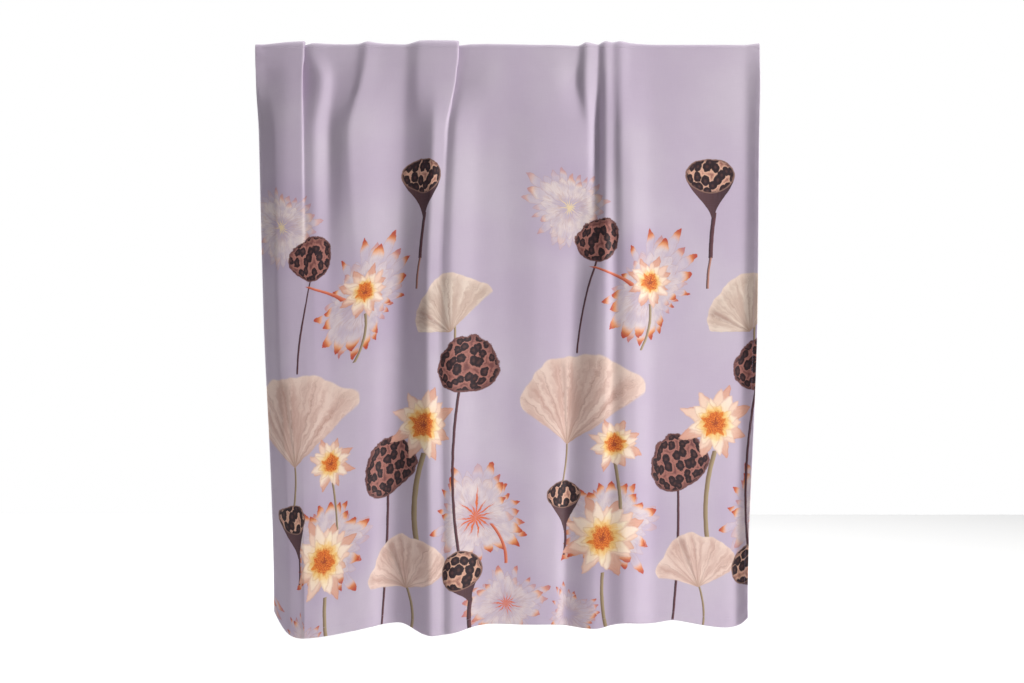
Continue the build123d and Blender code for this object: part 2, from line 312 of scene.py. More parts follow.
class Tree:
    """A shader node tree, and short ways to fill it."""

    def __init__(self, tree):
        self.tree = tree

    def node(self, kind, inputs=None, **settings):
        """A new node, with its settings and inputs."""
        made = self.tree.nodes.new("ShaderNode" + kind)
        for name, value in settings.items():
            setattr(made, name, value)
        for key, value in (inputs or {}).items():
            self.put(made.inputs[key], value)
        return made

    def put(self, socket, value):
        """Link a value to a socket, or set its number or colour."""
        if isinstance(value, Value):
            self.tree.links.new(value.socket, socket)
        else:
            socket.default_value = paint(value) if isinstance(value, tuple) else value

    def value(self, kind, output, inputs, **settings):
        """What a new node puts out."""
        return Value(self, self.node(kind, inputs, **settings).outputs[output])

    def math(self, operation, *values):
        """One step of arithmetic."""
        return self.value("Math", 0, dict(enumerate(values)), operation=operation)

    def step(self, value, low, high, start=0.0, stop=1.0):
        """start below low, stop above high, and a smooth step between them."""
        inputs = {"Value": value, "From Min": low, "From Max": high, "To Min": start,
                  "To Max": stop}
        return self.value("MapRange", "Result", inputs, interpolation_type="SMOOTHSTEP")

    def pattern(self, kind, output, x, y, inputs, **settings):
        """A texture of the plane, one wave or cell to a unit."""
        place = self.value("CombineXYZ", 0, {"X": x, "Y": y})
        return self.value("Tex" + kind, output, {"Vector": place, "Scale": 1.0, **inputs},
                          **settings)

    def noise(self, x, y, detail=2.0, roughness=0.5):
        """Soft noise about 0.5."""
        inputs = {"Detail": detail, "Roughness": roughness}
        return self.pattern("Noise", "Fac", x, y, inputs, noise_dimensions="2D")

    def cells(self, x, y):
        """How far the nearest scattered centre is."""
        return self.pattern("Voronoi", "Distance", x, y, {"Randomness": 0.75},
                            voronoi_dimensions="2D")

    def random(self, number):
        """A number's own random number from 0 to 1."""
        return self.value("TexWhiteNoise", "Value", {"W": number}, noise_dimensions="1D")

    def mix(self, first, second, share):
        """A colour between two colours."""
        return self.value("Mix", 2, {0: share, 6: first, 7: second}, data_type="RGBA")

    def length(self, x, y):
        """The distance from the origin."""
        return self.math("SQRT", x * x + y * y)


# ---- the print's motifs ----
PERIOD = 1030.0
COLOURS = ("colour", "heart", "dark", "light", "pale", "shade")
EVERY_MOTIF = "colour u v stray_x stray_y across down turn squash "
OWN_INPUTS = {
    "stem": "run drop bend width dark light",
    "veil": "radius seed veil tips lobes phase depth star heart",
    "lily": "radius seed blush",
    "pod": "wide tall seed odd",
    "funnel": "wide tall drop lean seed odd",
    "leaf": "radius start stop lean seed fold veins pale shade",
}


class Group(Tree):
    """A node group, by the names of its inputs and outputs."""

    def __init__(self, name, inputs, outputs):
        super().__init__(bpy.data.node_groups.new(name, "ShaderNodeTree"))
        for way, keys in (("INPUT", inputs), ("OUTPUT", outputs)):
            for key in keys.split():
                kind = "NodeSocketColor" if key in COLOURS else "NodeSocketFloat"
                self.tree.interface.new_socket(key, in_out=way, socket_type=kind)
        source = self.tree.nodes.new("NodeGroupInput").outputs
        self.given = SimpleNamespace(**{key: Value(self, source[key]) for key in inputs.split()})
        self.sink = self.tree.nodes.new("NodeGroupOutput").inputs


class Motif(Group):
    """A node group that prints one motif over a colour. Its lengths are in mm."""

    def __init__(self, name):
        super().__init__(name, EVERY_MOTIF + OWN_INPUTS[name], "colour")
        self.colour = self.given.colour

    def done(self):
        """The group, closed with the colour as it is now."""
        self.put(self.sink["colour"], self.colour)
        return self.tree

    def place(self, stray):
        """x to the right and y up from the motif's repeating place."""
        give = self.given
        x = self.math("WRAP", give.u - give.across, PERIOD / 2, -PERIOD / 2)
        y = give.down - give.v
        x, y = x + give.stray_x * stray, y + give.stray_y * stray
        c, s = self.math("COSINE", give.turn), self.math("SINE", give.turn)
        return x * c + y * s, (y * c - x * s) / give.squash

    def lay(self, colour, cover):
        """Print a colour where cover is 1."""
        self.colour = self.mix(self.colour, colour, cover)

    def petals(self, x, y, count, radius, width, uneven=0.25, seed=0.0, turn=0.0, bulge=0.8):
        """A ring of pointed petals round the origin: how far along its petal a point is, how far
        inside its petal's side it is in mm, and its petal's own random number."""
        angle = self.math("ARCTAN2", y, x) * (count / TAU) + turn
        number = self.math("FLOOR", angle)
        own = self.random(self.math("FLOORED_MODULO", number, count) + seed)
        r = self.length(x, y)
        far = r / (radius * (own * uneven + (1 - uneven)))
        along = self.math("MINIMUM", far, 1.0)
        half = self.math("SINE", along ** bulge * math.pi) ** 0.8 * width
        across = abs(angle - number - 0.5) * r * (TAU / count)
        return along, half - across - (far - along) * radius, own


def draw_stem(art, give, x, y):
    """A thin stem from its top to its bottom, bowed sideways."""
    share = y * -1 / give.drop
    middle = share * give.run + share * (1 - share) * 4 * give.bend
    side, half = x - middle, give.width / 2
    body = art.step(abs(side), half - 0.6, half + 0.8, 1, 0)
    ends = art.step(share, -0.01, 0.0) * art.step(share, 0.985, 1.0, 1, 0)
    art.lay(art.mix(give.dark, give.light, art.step(side, half * -1, half)), body * ends)


def draw_veil(art, give, x, y):
    """A see-through flower: fine rays out of a centre, each with a coloured tip."""
    radius = give.radius
    shadow = art.step(art.length(x, y) / radius, 0.7, 1.25, 0.3, 0)
    art.lay((172, 152, 182), shadow)
    angle = art.math("ARCTAN2", y, x)
    wave = art.math("SINE", angle * give.lobes + give.phase) * give.depth + 1
    wave = wave + art.math("SINE", angle * 2 + give.seed) * 0.06
    x, y = x / wave, y / wave
    haze = art.noise(x / 30 + give.seed, y / 30, 2)
    for ring, colour in enumerate(((222, 207, 208), (238, 224, 214))):
        along, inside, own = art.petals(x, y, 27 - 6 * ring, radius * (1 - 0.15 * ring),
                                        radius * (0.08 + 0.016 * ring), 0.34,
                                        give.seed + 50 * ring, ring * 0.5, 2.1)
        body = art.step(inside, 0, 2.2)
        line = body * art.step(inside, 1.2, 3.0, 1, 0)
        fill = body * art.step(haze, 0.25, 0.7, 0.3, 0.85) * give.veil
        art.lay(colour, fill * art.step(along, 0.1, 0.5))
        art.lay((186, 140, 132), line * art.step(along, 0.2, 0.8, 0.2, 0.6))
        rib = body * art.step(art.noise(inside / 1.7, along * 2 + own * 9, 1), 0.5, 0.75)
        art.lay((190, 152, 146), rib * art.step(along, 0.1, 0.9, 0.5, 0.2))
        tip = art.mix((240, 166, 90), (182, 62, 26), art.step(along, 0.8, 0.96))
        shown = art.step(own, 0.25, 0.6) * art.step(along, 0.78 - 0.04 * ring, 0.9)
        art.lay(tip, body * shown * give.tips)
    along, inside, own = art.petals(x, y, 15, give.star, give.star * 0.03, 0.6,
                                    give.seed + 9)
    ray = art.step(inside, -1, 1.5) * art.step(along, 0.5, 1.0, 1, 0.3)
    middle = art.step(art.length(x, y), give.star * 0.05, give.star * 0.3, 0.7, 0)
    art.lay(give.heart, art.math("MAXIMUM", ray, middle) * art.step(give.star, 1, 2))


def draw_lily(art, give, x, y):
    """An open water lily: three rings of petals round an orange heart."""
    radius = give.radius
    rings = [
        (8, 1.0, 0.185, (232, 196, 174), (216, 160, 140), 0.0),
        (9, 0.95, 0.17, (243, 214, 190), (236, 200, 182), 0.5),
        (8, 0.83, 0.165, (247, 222, 190), (246, 224, 208), 0.25),
        (9, 0.66, 0.13, (248, 216, 150), (250, 232, 208), 0.7),
    ]
    for ring, (count, size, wide, heart, tip, start) in enumerate(rings):
        along, inside, own = art.petals(x, y, count, radius * size, radius * wide, 0.32,
                                        give.seed + 31 * ring, start, 0.85)
        veins = art.noise(inside / 3.5, along * 3 + own * 7, 2)
        tone = art.step(along + veins * 0.5 + own * 0.4 + give.blush, 0.7, 1.6)
        petal = art.mix(heart, tip, tone)
        petal = art.mix((196, 136, 120), petal, art.step(inside, -1, 9, 0.55, 1))
        art.lay(petal, art.step(inside, -1.5, 1.5))
    r = art.length(x, y) / radius + (art.noise(x / 14, y / 14, 3) - 0.5) * 0.22
    art.lay((240, 186, 92), art.step(r, 0.2, 0.48, 0.95, 0))
    stamens = art.noise(x / 3.5, y / 3.5, 2)
    along, inside, own = art.petals(x, y, 10, radius * 0.4, radius * 0.07, 0.5,
                                    give.seed + 7)
    art.lay((226, 132, 46), art.step(inside, -3, 2))
    heart = art.mix((196, 78, 26), (230, 136, 50), art.step(stamens, 0.4, 0.65))
    art.lay(heart, art.step(r, 0.17, 0.32, 1, 0))
    art.lay((138, 50, 28), art.step(r + stamens * 0.1, 0.07, 0.17, 0.75, 0))


def pod_face(art, give, x, y, pitch, flesh, pale, gap):
    """The holed top of a lotus pod, within an uneven oval."""
    wide, tall, seed = give.wide * 0.5, give.tall * 0.5, give.seed
    angle = art.math("ARCTAN2", y, x)
    lobes = (art.math("SINE", angle * 2 + seed) + art.math("SINE", angle * 3 + seed * 2)) * give.odd
    r = art.length(x / wide, y / tall) + lobes + give.stray_y * 0.05
    bend = r * r * 0.3 + 1
    away = art.cells(x * bend / pitch + seed, y * bend / (pitch * 1.2) + seed)
    grain = art.noise(x / 13, y / 13 + seed, 3)
    skin = art.mix(pale, flesh, art.step(away + grain * 0.5, gap + 0.22, gap + 0.62))
    skin = art.mix(skin, (72, 42, 46), art.step(r, 0.72, 1.02, 0, 0.75))
    art.lay(skin, art.step(r, 0.97, 1.01, 1, 0))
    pit = art.step(away + grain * 0.3, gap + 0.06, gap + 0.16, 1, 0) * art.step(r, 0.9, 0.98, 1, 0)
    hole = art.mix((98, 60, 54), (40, 24, 26), art.step(away, 0.05, 0.25, 0.45, 1))
    art.lay(hole, pit)


def draw_pod(art, give, x, y):
    """A lotus pod seen from above."""
    pod_face(art, give, x, y, 33, (112, 66, 62), (172, 114, 102), 0.5)


def draw_funnel(art, give, x, y):
    """A lotus pod seen from the side: a holed top on a cup that narrows to its stem."""
    share = y * -1 / give.drop
    half = art.step(share, 0.0, 1.0, give.wide * 0.47, 6.5)
    side = x - share * share * give.lean
    cup = art.step(half - abs(side), -0.8, 0.8)
    cup = cup * art.step(share, 0.02, 0.05) * art.step(share, 0.98, 1.0, 1, 0)
    shade = art.step(side / give.wide, -0.5, 0.5)
    art.lay(art.mix((96, 66, 68), (62, 40, 46), shade), cup)
    pod_face(art, give, x, y, 31, (150, 98, 86), (222, 174, 150), 0.56)


def draw_leaf(art, give, x, y):
    """A dry lotus leaf: a fan out of its base between two angles, in turns of the circle."""
    angle = art.math("ARCTAN2", y, x) / TAU
    share = (angle - give.start) / (give.stop - give.start)
    wave = art.noise(share * 3.4, give.seed, 2) * 0.4 + 0.8 + (1 - share) * give.lean
    corners = abs(share * 2 - 1) ** 12.0 * -0.14 + 1
    edge = art.length(x, y) / (wave * corners * give.radius)
    cover = art.step(edge, 0.98, 1.005, 1, 0)
    cover = cover * art.step(share, 0.0, 0.02) * art.step(share, 0.98, 1.0, 1, 0)
    bent = share * give.veins + (give.stray_x + give.stray_y) * 0.5
    ripple = art.noise(bent, edge * 0.9 + give.seed, 3, 0.6)
    tone = art.step(ripple + give.stray_y * 0.05, 0.3, 0.68)
    body = art.mix(give.shade, give.pale, tone)
    rays = art.math("FRACT", bent * 0.35)
    ray = art.step(abs(rays - 0.5) * edge, 0.006, 0.025, 0.3, 0)
    body = art.mix(body, (168, 132, 120), ray)
    crease = abs(share - give.fold - give.stray_y * 0.02)
    body = art.mix(body, (146, 108, 98), art.step(crease, 0.0, 0.06, 0.5, 0))
    body = art.mix(body, (236, 214, 200), art.step(edge, 0.86, 1.0, 0, 0.5))
    art.lay(art.mix(body, (176, 142, 122), art.step(edge, 0.0, 0.25, 0.6, 0)), cover)


# Each motif, and how far in mm its outline strays.
MOTIFS = {}
for name, draw, stray in (("stem", draw_stem, 1.5), ("veil", draw_veil, 8), ("lily", draw_lily, 8),
                          ("pod", draw_pod, 9), ("funnel", draw_funnel, 2),
                          ("leaf", draw_leaf, 3.5)):
    art = Motif(name)
    draw(art, art.given, *art.place(stray))
    MOTIFS[name] = art.done()

PLUM, OLIVE = ((58, 36, 42), (104, 64, 68)), ((118, 96, 72), (178, 158, 124))
RUST = ((182, 74, 52), (226, 136, 104))
TAN = ((66, 42, 46), (196, 140, 120))
BEIGE = ((222, 204, 190), (196, 170, 156))
PEACH = ((228, 202, 190), (202, 166, 154))
CORAL, STRAW = (216, 104, 50), (240, 216, 150)


def printed(kind, across, down, box, own, turn=0.0, squash=1.0):
    """A motif at a place on the flat cloth. box is how far it reaches to the left, to the right,
    up and down from there, and turn is in degrees."""
    values = dict(zip(OWN_INPUTS[kind].split(), own))
    values.update(across=across, down=down, turn=math.radians(turn), squash=squash)
    return kind, (across - box[0], across + box[1], down - box[2], down + box[3]), values


def veil(across, down, radius, seed, veil=0.5, tips=0.95, lobes=3, phase=0.0, depth=0.15,
         star=0.0, heart=CORAL, squash=1.0):
    reach = radius * (1.06 + depth) + 14
    own = (radius, seed, veil, tips, lobes, math.radians(phase), depth, star, heart)
    return printed("veil", across, down, [reach] * 4, own, squash=squash)


def lily(across, down, radius, seed, blush=0.0):
    return printed("lily", across, down, [radius + 6] * 4, (radius, seed, blush))


def pod(across, down, wide, tall, seed, turn=0.0):
    reach = max(wide, tall) / 2 * 1.15 + 10
    return printed("pod", across, down, [reach] * 4, (wide, tall, seed, 0.055), turn)


def funnel(across, down, wide, tall, drop, lean, seed, turn=0.0):
    box = [wide / 2 + 18] * 3 + [drop + 10]
    return printed("funnel", across, down, box, (wide, tall, drop, lean, seed, 0.025), turn)


def leaf(across, down, radius, start, stop, lean, seed, fold, veins, colours):
    box = [radius * (1.12 + lean)] * 3 + [12]
    own = (radius, start / 360, stop / 360, lean, seed, fold, veins, *colours)
    return printed("leaf", across, down, box, own)


def stem(top, bottom, bend, width, colours):
    run, drop = bottom[0] - top[0], bottom[1] - top[1]
    spare = abs(bend) + width
    box = (spare - min(run, 0), spare + max(run, 0), 4, drop + 4)
    return printed("stem", *top, box, (run, drop, bend, width, *colours))


# From the motifs that lie behind to the ones in front.
PRINT = [
    veil(92, 524, 160, 3, veil=0.6, tips=0.4, lobes=3, phase=40, depth=0.16, star=46,
         heart=STRAW),
    veil(392, 790, 186, 11, veil=0.42, lobes=2, phase=-10, depth=0.26),
    veil(258, 1558, 198, 21, veil=0.42, lobes=5, phase=40, depth=0.14, squash=0.9),
    veil(820, 1535, 186, 5, veil=0.5, lobes=3, phase=170, depth=0.16, star=100),
    veil(916, 1822, 150, 14, veil=0.45, tips=0.7, lobes=4, phase=60, star=60),
    veil(133, 1850, 105, 8, veil=0.4, tips=0.85, lobes=4),
    stem((207, 690), (143, 1002), -12, 7, PLUM),
    stem((190, 716), (338, 782), 20, 24, RUST),
    stem((398, 840), (362, 992), 14, 9, OLIVE),
    stem((868, 1560), (915, 1690), 14, 10, RUST),
    stem((760, 900), (760, 960), 0, 7, OLIVE),
    stem((775, 1105), (768, 1650), -22, 9, PLUM),
    stem((498, 1445), (478, 1890), 8, 9, PLUM),
    stem((630, 1320), (612, 1640), -22, 17, OLIVE),
    stem((276, 1340), (296, 1560), 6, 9, OLIVE),
    pod(207, 628, 164, 152, 4.3, 8),
    stem((620, 540), (608, 690), -3, 14, PLUM),
    stem((608, 688), (598, 790), -3, 9, TAN),
    funnel(605, 418, 172, 112, 140, 12, 7.7),
    lily(398, 768, 96, 5, blush=0.12),
    leaf(745, 930, 150, 44, 182, 0.4, 2.2, 0.8, 12, BEIGE),
    pod(796, 1038, 204, 190, 9.1, -20),
    pod(498, 1360, 222, 182, 2.6, 12),
    lily(628, 1228, 142, 2),
    stem((115, 1290), (98, 1430), 6, 9, OLIVE),
    leaf(115, 1300, 226, 32, 148, 0.6, 3.3, 0.55, 14, PEACH),
    lily(274, 1297, 100, 8),
    stem((118, 1572), (114, 1662), 4, 11, PLUM),
    funnel(100, 1463, 140, 92, 120, 10, 3.9, 4),
    lily(240, 1600, 150, 13),
    stem((243, 1712), (256, 1890), -8, 13, OLIVE),
    stem((572, 1755), (590, 1890), 10, 8, OLIVE),
    leaf(572, 1768, 160, 24, 172, 0.1, 7.4, 0.6, 15, PEACH),
    stem((802, 1796), (800, 1895), -4, 13, PLUM),
    funnel(770, 1700, 140, 128, 110, 6, 6.4, 14),
]

# The cloth is finished tile by tile, so that each tile works out only the motifs that reach it.
TILE_WIDE, TILE_TALL, TILE_SPARE = PERIOD / 5, 180.0, 8.0


def tile_at(u, v):
    """The tile at a flat place in metres."""
    return int(u * 1000 % PERIOD // TILE_WIDE), int(v * 1000 // TILE_TALL)


def motifs_on(tile):
    """The motifs that reach a tile."""
    left, top = tile[0] * TILE_WIDE - TILE_SPARE, tile[1] * TILE_TALL - TILE_SPARE
    right, bottom = left + TILE_WIDE + 2 * TILE_SPARE, top + TILE_TALL + 2 * TILE_SPARE
    found = []
    for kind, (x0, x1, d0, d1), values in PRINT:
        beside = any(x0 + k * PERIOD < right and x1 + k * PERIOD > left for k in (-1, 0, 1))
        if beside and d0 < bottom and d1 > top:
            found.append((kind, values))
    return found


def ground_group():
    """The print's ground, and the strays that keep its outlines from being exact."""
    group = Group("ground", "u v", "colour stray_x stray_y")
    u, v = group.given.u, group.given.v
    cloud = group.step(group.noise(u / 330, v / 330, 3), 0.3, 0.8)
    group.put(group.sink["colour"], group.mix((190, 175, 195), (198, 186, 201), cloud))
    for key, apart in (("stray_x", 0), ("stray_y", 40)):
        stray = group.noise(u / 34 + apart, v / 34, 4, 0.6)
        group.put(group.sink[key], (stray - 0.5) * 2)
    return group.tree


GROUND = ground_group()


def printed_colour(tree, tile):
    """The colour of the print on one tile."""
    u, v = tree.flat_place()
    ground = tree.node("Group", {"u": u, "v": v}, node_tree=GROUND)
    given = {key: Value(tree, ground.outputs[key]) for key in ("stray_x", "stray_y", "colour")}
    for kind, values in motifs_on(tile):
        inputs = {"u": u, "v": v, **given, **values}
        laid = tree.node("Group", inputs, node_tree=MOTIFS[kind])
        given["colour"] = Value(tree, laid.outputs["colour"])
    return given["colour"], u, v


# ---- materials ----
class Surface(Tree):
    """A material, with what is the same all over it."""

    def __init__(self, name, roughness, specular=0.3, sheen=0.0, sheen_roughness=0.4, metallic=0.0):
        self.material = bpy.data.materials.new(name)
        self.material.use_nodes = True
        super().__init__(self.material.node_tree)
        self.shader = self.tree.nodes["Principled BSDF"].inputs
        keys = ("Roughness", "Specular IOR Level", "Sheen Weight", "Sheen Roughness", "Metallic")
        for key, value in zip(keys, (roughness, specular, sheen, sheen_roughness, metallic)):
            self.shader[key].default_value = value

    def place(self, source, scale=1000):
        """The three parts of a place, from metres to mm."""
        parts = self.node("SeparateXYZ", {0: Value(self, source)}).outputs
        return [Value(self, part) * scale for part in parts]

    def flat_place(self, scale=1000):
        """Where a point is on the flat piece."""
        return self.place(self.node("UVMap", uv_map="cloth").outputs[0], scale)[:2]

    def solid_place(self):
        """Where a point is in space."""
        return self.place(self.node("TexCoord").outputs["Object"])

    def done(self, colour, height, strength):
        """The material, with its colour and with bump from a height in mm."""
        inputs = {"Height": height, "Distance": MM, "Strength": strength}
        self.put(self.shader["Base Color"], colour)
        self.put(self.shader["Normal"], self.value("Bump", "Normal", inputs))
        return self.material


THREAD_PITCH = 0.9


def weave(tree, u, v):
    """The height of a plain weave with its slubs, and the slub noise, which the cloth's finish also
    uses for painted shade on the slubs.
    """
    warp = tree.math("SINE", u * (TAU / THREAD_PITCH))
    weft = tree.math("SINE", v * (TAU / THREAD_PITCH))
    slub = tree.noise(u / 1.3, v / 46, 2) + tree.noise(u / 46, v / 1.3, 2)
    return warp * weft * 0.05 + slub * 0.09, slub


@functools.cache
def tile_material(side, tile):
    """The cloth's finish on one tile: its printed side, or the paler reverse."""
    tree = Surface(f"{side}_{tile[0]}_{tile[1]}", 0.5 if side == "print" else 0.66, 0.3, 0.08, 0.35)
    colour, u, v = printed_colour(tree, tile)
    height, slub = weave(tree, u, v)
    if side == "reverse":
        colour = tree.mix(colour, (204, 194, 212), 0.58)
    # Painted shade: the colour is mixed a little towards a grey lilac where the slub noise is high.
    colour = tree.mix(colour, (140, 122, 150), tree.step(slub, 0.7, 1.35, 0.0, 0.07))
    return tree.done(colour, height, 0.5)


def thread_material(name, light, dark):
    """Spun thread with its twist, in painted light and shade: lighter on the twist's ridges, darker
    between them.
    """
    tree = Surface(name, 0.55, 0.35, 0.3)
    x, y, z = tree.solid_place()
    twist = tree.math("SINE", (x + y * 0.6 + z) * 9)
    fuzz = tree.noise(x * 2 + y, z * 2, 2)
    # Painted light and shade: the colour goes from dark to light with the twist's bump height, plus
    # some noise.
    return tree.done(tree.mix(dark, light, tree.step(twist + fuzz, 0, 1.6)), twist * 0.05, 0.6)


def tape_material():
    """Woven herringbone tape, with painted shade: lighter on the ribs' crests, darker in their
    grooves.
    """
    tree = Surface("woven_tape", 0.75, 0.25, 0.25)
    u, v = tree.flat_place()
    side = tree.math("PINGPONG", v, 5.0)
    rib = tree.math("SINE", (u + side) * (TAU / 1.6))
    grime = tree.step(tree.noise(u / 40, v / 9, 3), 0.5, 0.85, 0, 0.4)
    # Painted shade: the rib's bump height also sets the colour, lighter on crests and darker in
    # grooves.
    colour = tree.mix((206, 200, 206), (232, 229, 232), tree.step(rib, -1, 1))
    return tree.done(tree.mix(colour, (176, 166, 168), grime), rib * 0.12, 0.7)


def satin_material():
    """The label's satin ribbon, with a raised selvedge along its sides."""
    tree = Surface("label_satin", 0.32, 0.5, 0.1)
    u, v = tree.flat_place(1)
    line = tree.math("SINE", v * (TAU * 95))
    cloud = tree.noise(u * 3, v * 7, 3)
    edge = tree.step(abs(u - 0.5), 0.44, 0.47)
    colour = tree.mix((232, 230, 230), (246, 245, 244), tree.step(cloud, 0.3, 0.7))
    return tree.done(tree.mix(colour, (214, 210, 212), edge), line * 0.02 + edge * 0.15, 0.6)


def metal_material():
    """Nickel plate, with rubbed patches and fine scratches."""
    tree = Surface("eyelet_nickel", 0.3, 0.5, metallic=1.0)
    x, _, z = tree.solid_place()
    rubbed = tree.noise(x / 3, z / 3, 4)
    scratch = tree.noise(x * 0.4 + z * 7, z * 0.5, 3)
    tree.put(tree.shader["Roughness"], tree.step(rubbed, 0.2, 0.8, 0.52, 0.42))
    colour = tree.mix((214, 211, 207), (226, 224, 220), tree.step(rubbed, 0.2, 0.8))
    return tree.done(colour, scratch * 0.02, 0.4)


THREAD = thread_material("lilac_thread", (206, 192, 214), (160, 142, 172))
LABEL_THREAD = thread_material("white_thread", (238, 236, 238), (200, 196, 202))
TAPE, SATIN, NICKEL = tape_material(), satin_material(), metal_material()


# ---- building pieces ----
def placed(name, data):
    """A new object in the scene."""
    obj = bpy.data.objects.new(name, data)
    bpy.context.scene.collection.objects.link(obj)
    return obj


def new_piece(name, points, faces, body, node, uvs=None, rim=0):
    """A mesh object on a body. faces is a list of (corner numbers, finish), where a finish is a
    material, or one side of the printed cloth. The last rim faces are not smoothed."""
    mesh = bpy.data.meshes.new(name)
    mesh.from_pydata([tuple(p) for p in points], [], [f[0] for f in faces])
    numbers, indices = {}, []
    for corners, finish in faces:
        if isinstance(finish, str):
            finish = tile_material(finish, tile_at(*uvs[corners].mean(axis=0)))
        if finish not in numbers:
            numbers[finish] = len(numbers)
            mesh.materials.append(finish)
        indices.append(numbers[finish])
    mesh.polygons.foreach_set("material_index", indices)
    mesh.polygons.foreach_set("use_smooth", [k < len(faces) - rim for k in range(len(faces))])
    if uvs is not None:
        layer = mesh.uv_layers.new(name="cloth")
        corners = np.empty(len(mesh.loops), np.int32)
        mesh.loops.foreach_get("vertex_index", corners)
        layer.data.foreach_set("uv", np.asarray(uvs, np.float32)[corners].ravel())
    mesh.update()
    obj = placed(name, mesh)
    if body:
        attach(obj, body)
    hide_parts(node)
    return obj


def net_loops(rows, columns, skipped=()):
    """A net's faces by point number, without the cells in skipped."""
    number = np.arange(rows * columns).reshape(rows, columns)
    cells = [(r, c) for r in range(rows - 1) for c in range(columns - 1) if (r, c) not in skipped]
    return [number[[r, r + 1, r + 1, r], [c, c, c + 1, c + 1]].tolist() for r, c in cells]


def thin_cloth(name, face, back, uv, finishes, body, node, loops=None):
    """A closed sheet between two nets, with the finishes of its face and back."""
    loops = loops or net_loops(*face.shape[:2])
    face, back = face.reshape(-1, 3), back.reshape(-1, 3)
    size = len(face)
    faces, open_edges = [], {}
    for loop in loops:
        faces.append((loop, finishes[0]))
        faces.append(([size + k for k in reversed(loop)], finishes[1]))
        for a, b in zip(loop, loop[1:] + loop[:1]):
            if not open_edges.pop((b, a), None):
                open_edges[a, b] = True
    for a, b in open_edges:
        faces.append(([b, a, size + a, size + b], finishes[0]))
    points, uvs = np.concatenate([face, back]), np.concatenate([uv.reshape(-1, 2)] * 2)
    return new_piece(name, points, faces, body, node, uvs, len(open_edges))


PRINTED = ("print", "reverse")
TURNED = ("reverse", "print")


def unique_sorted(values):
    """The values in order, without repeats."""
    values = np.sort(values)
    return values[np.append(True, np.diff(values) > 1e-7)]


def graded(start, stop, steps, fine_spots, fine_step, reach):
    """Places from start to stop, closer together near the given spots."""
    fine = [np.arange(spot - reach, spot + reach, fine_step) for spot in fine_spots]
    merged = unique_sorted(np.concatenate([np.linspace(start, stop, steps), *fine]))
    kept = [start]
    for value in merged[(merged > start) & (merged <= stop)]:
        if value - kept[-1] > 0.6 * fine_step:
            kept.append(value)
    kept[-1] = stop
    return np.array(kept)


CREASES_AT = [PLACES[k] for k, f in enumerate(FOLDS) if f[2] <= 0.1 and 0 < k < len(FOLDS) - 1]
BETWEEN_HEMS = graded(SIDE_HEM, FLAT[0] - SIDE_HEM, 188, CREASES_AT, 3.0 * MM, 14 * MM)
PANEL_U = np.concatenate([
    np.linspace(0, SIDE_HEM, 6)[:-1],
    BETWEEN_HEMS,
    np.linspace(FLAT[0] - SIDE_HEM, FLAT[0], 6)[1:],
])
PANEL_DOWN = np.concatenate([
    np.linspace(0, SIDE_HEM_START, 18)[:-1],
    np.linspace(SIDE_HEM_START, HEM_TOP, 140)[:-1],
    np.linspace(HEM_TOP, FRONT_DROP, 8),
])


def flat_map(us, downs, x):
    """Flat places on the printed cloth, in metres: across, and down from the rail."""
    u = np.broadcast_to(us[None, :], x.shape)
    v = np.broadcast_to(downs[:, None], x.shape) - sag(x)
    return np.stack([u, v], axis=-1)


PANEL_POINTS, PANEL_NORMALS = cloth_net(PANEL_U, PANEL_DOWN)


def on_panel(us, downs):
    """Points and normals between those of the panel's net."""
    columns = np.interp(us, PANEL_U, np.arange(len(PANEL_U)))
    rows = np.interp(downs, PANEL_DOWN, np.arange(len(PANEL_DOWN)))
    c, r = columns.astype(int), rows.astype(int)
    next_c, next_r = np.minimum(c + 1, len(PANEL_U) - 1), np.minimum(r + 1, len(PANEL_DOWN) - 1)
    beside, below = (columns - c)[:, None], (rows - r)[:, None, None]

    def taken(net):
        mixed = net[:, c] * (1 - beside) + net[:, next_c] * beside
        return mixed[r] * (1 - below) + mixed[next_r] * below

    return taken(PANEL_POINTS), taken(PANEL_NORMALS)


def front_cloth():
    """The panel of printed cloth in front of the rail."""
    uv = flat_map(PANEL_U, PANEL_DOWN, PANEL_POINTS[..., 0])
    back = PANEL_POINTS - PANEL_NORMALS * THICK
    return thin_cloth("front_cloth", PANEL_POINTS, back, uv, PRINTED, "panel",
                      "front_panel")


def fold_cloth():
    """The cloth over the rail, curving round from the panel to the header's face."""
    angles = np.linspace(math.pi, 0, 17)[:, None]
    fade = smooth(angles, math.pi / 2, math.pi)
    radius = -PANEL_POINTS[0, :, 1] * (1 - fade) + HEADER_FACE_Y * fade
    level_x = (PANEL_U / FLAT[0] * 2 - 1) * HALF_TOP
    xs = PANEL_POINTS[0, :, 0] * (1 - fade) + level_x * fade

    def net(r):
        return np.stack([xs, -r * np.cos(angles), r * np.sin(angles)], -1)

    uv = flat_map(PANEL_U, -angles[:, 0] * RAIL_R, xs)
    piece = thin_cloth("fold_cloth", net(radius), net(radius - THICK), uv, PRINTED, None,
                       "header_fold")
    -RAIL_R
    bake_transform(piece)
    return piece


# ---- the header behind the rail ----
def header_edge(x):
    """Height of the header's free edge."""
    return HEADER_LEAN * np.clip((LEAN_END - x / HALF_TOP) / (LEAN_END + 1), 0, 1) - HEADER_LENGTH


def rippled(points):
    """Points of the header, in waves where no eyelet and no rail holds them."""
    away = np.min([np.hypot(points[:, 0] - x, points[:, 2] - z)
                   for x, y, z in (m["pos_m"] for m in EYELETS)], axis=0)
    free = smooth(away, 14 * MM, 45 * MM) * smooth(-points[:, 2], 0, 30 * MM)
    ripple = 1.3 * MM * free * np.sin(points[:, 0] * 61 + 1.6 * np.sin(points[:, 0] * 17))
    return points + ripple[:, None] * [0, 1, 0]


